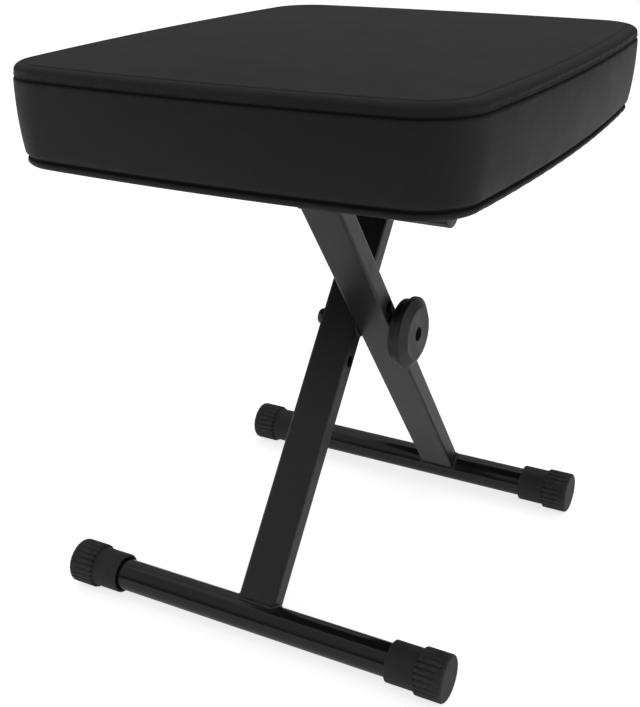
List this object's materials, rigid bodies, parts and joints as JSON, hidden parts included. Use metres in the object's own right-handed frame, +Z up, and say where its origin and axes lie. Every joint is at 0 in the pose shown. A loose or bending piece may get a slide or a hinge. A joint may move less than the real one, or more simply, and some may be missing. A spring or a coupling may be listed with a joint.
{
  "type": "piano bench",
  "caption": "Folding X-frame piano bench: padded rectangular seat on two crossed steel legs with round foot tubes, ribbed end caps and a clamping knob at the pivot.",
  "frame": {"origin": "on the floor, under the middle of the seat", "axes": "+Z up; +X along the foot tubes, towards the clamping knob; +Y from the front foot to the rear foot, along the seat's long side"},
  "size_m": [0.3964, 0.4762, 0.4891],
  "materials": {
    "satin_black_steel": "satin black powder coat",
    "gloss_black_steel": "gloss black enamel",
    "black_rubber": "matte moulded rubber",
    "black_plastic": "fine moulded texture",
    "black_zinc_steel": "black zinc plate",
    "black_leatherette": "fine ribbed leatherette",
    "foam": "open-cell foam",
    "plywood": "unfinished plywood",
    "black_cloth": "non-woven cloth"
  },
  "bodies": {
    "front_frame": {"front_leg": "satin_black_steel", "front_foot_tube": "gloss_black_steel", "front_seat_tube": "gloss_black_steel", "front_foot_cap_left": "black_rubber", "front_foot_cap_right": "black_rubber", "front_seat_tube_plug_left": "black_plastic", "front_seat_tube_plug_right": "black_plastic", "pivot_bolt": "black_zinc_steel", "leg_spacer": "black_zinc_steel"},
    "rear_frame": {"rear_leg": "satin_black_steel", "rear_foot_tube": "gloss_black_steel", "rear_seat_tube": "gloss_black_steel", "rear_foot_cap_left": "black_rubber", "rear_foot_cap_right": "black_rubber", "rear_seat_tube_plug_left": "black_plastic", "rear_seat_tube_plug_right": "black_plastic"},
    "knob_washer": {"knob_washer": "black_zinc_steel"},
    "clamp_knob": {"clamp_knob": "black_plastic", "knob_nut": "black_zinc_steel"},
    "seat": {"seat_cover": "black_leatherette", "seat_foam": "foam", "seat_board": "plywood", "dust_cover": "black_cloth", "pivot_saddle_left": "black_plastic", "pivot_saddle_right": "black_plastic", "rest_saddle_left": "black_plastic", "rest_saddle_right": "black_plastic", "saddle_screw_1": "black_zinc_steel", "saddle_screw_2": "black_zinc_steel", "saddle_screw_3": "black_zinc_steel", "saddle_screw_4": "black_zinc_steel", "saddle_screw_5": "black_zinc_steel", "saddle_screw_6": "black_zinc_steel", "saddle_screw_7": "black_zinc_steel", "saddle_screw_8": "black_zinc_steel"}
  },
  "joints": [
    {"name": "leg_fold", "type": "hinge", "parent": "front_frame", "child": "rear_frame", "pos_m": [-0.0095, -0.01, 0.23846], "axis": [-1, 0, 0], "range_deg": [0, 64]},
    {"name": "seat_lift", "type": "hinge", "parent": "front_frame", "child": "seat", "pos_m": [-0.0095, 0.10419, 0.38944], "axis": [-1, 0, 0], "range_deg": [0, 32]},
    {"name": "knob_travel", "type": "slide", "parent": "front_frame", "child": "knob_washer", "axis": [1, 0, 0], "range_m": [0, 0.0045]},
    {"name": "knob_turn", "type": "hinge", "parent": "knob_washer", "child": "clamp_knob", "pos_m": [0.0529, -0.01, 0.23846], "axis": [1, 0, 0], "range_deg": [0, 1080]}
  ],
  "couplings": [
    {"joint": "seat_lift", "follows": "leg_fold", "ratio": 0.5},
    {"joint": "knob_travel", "follows": "knob_turn", "m_per_rad": 0.00023873}
  ]
}
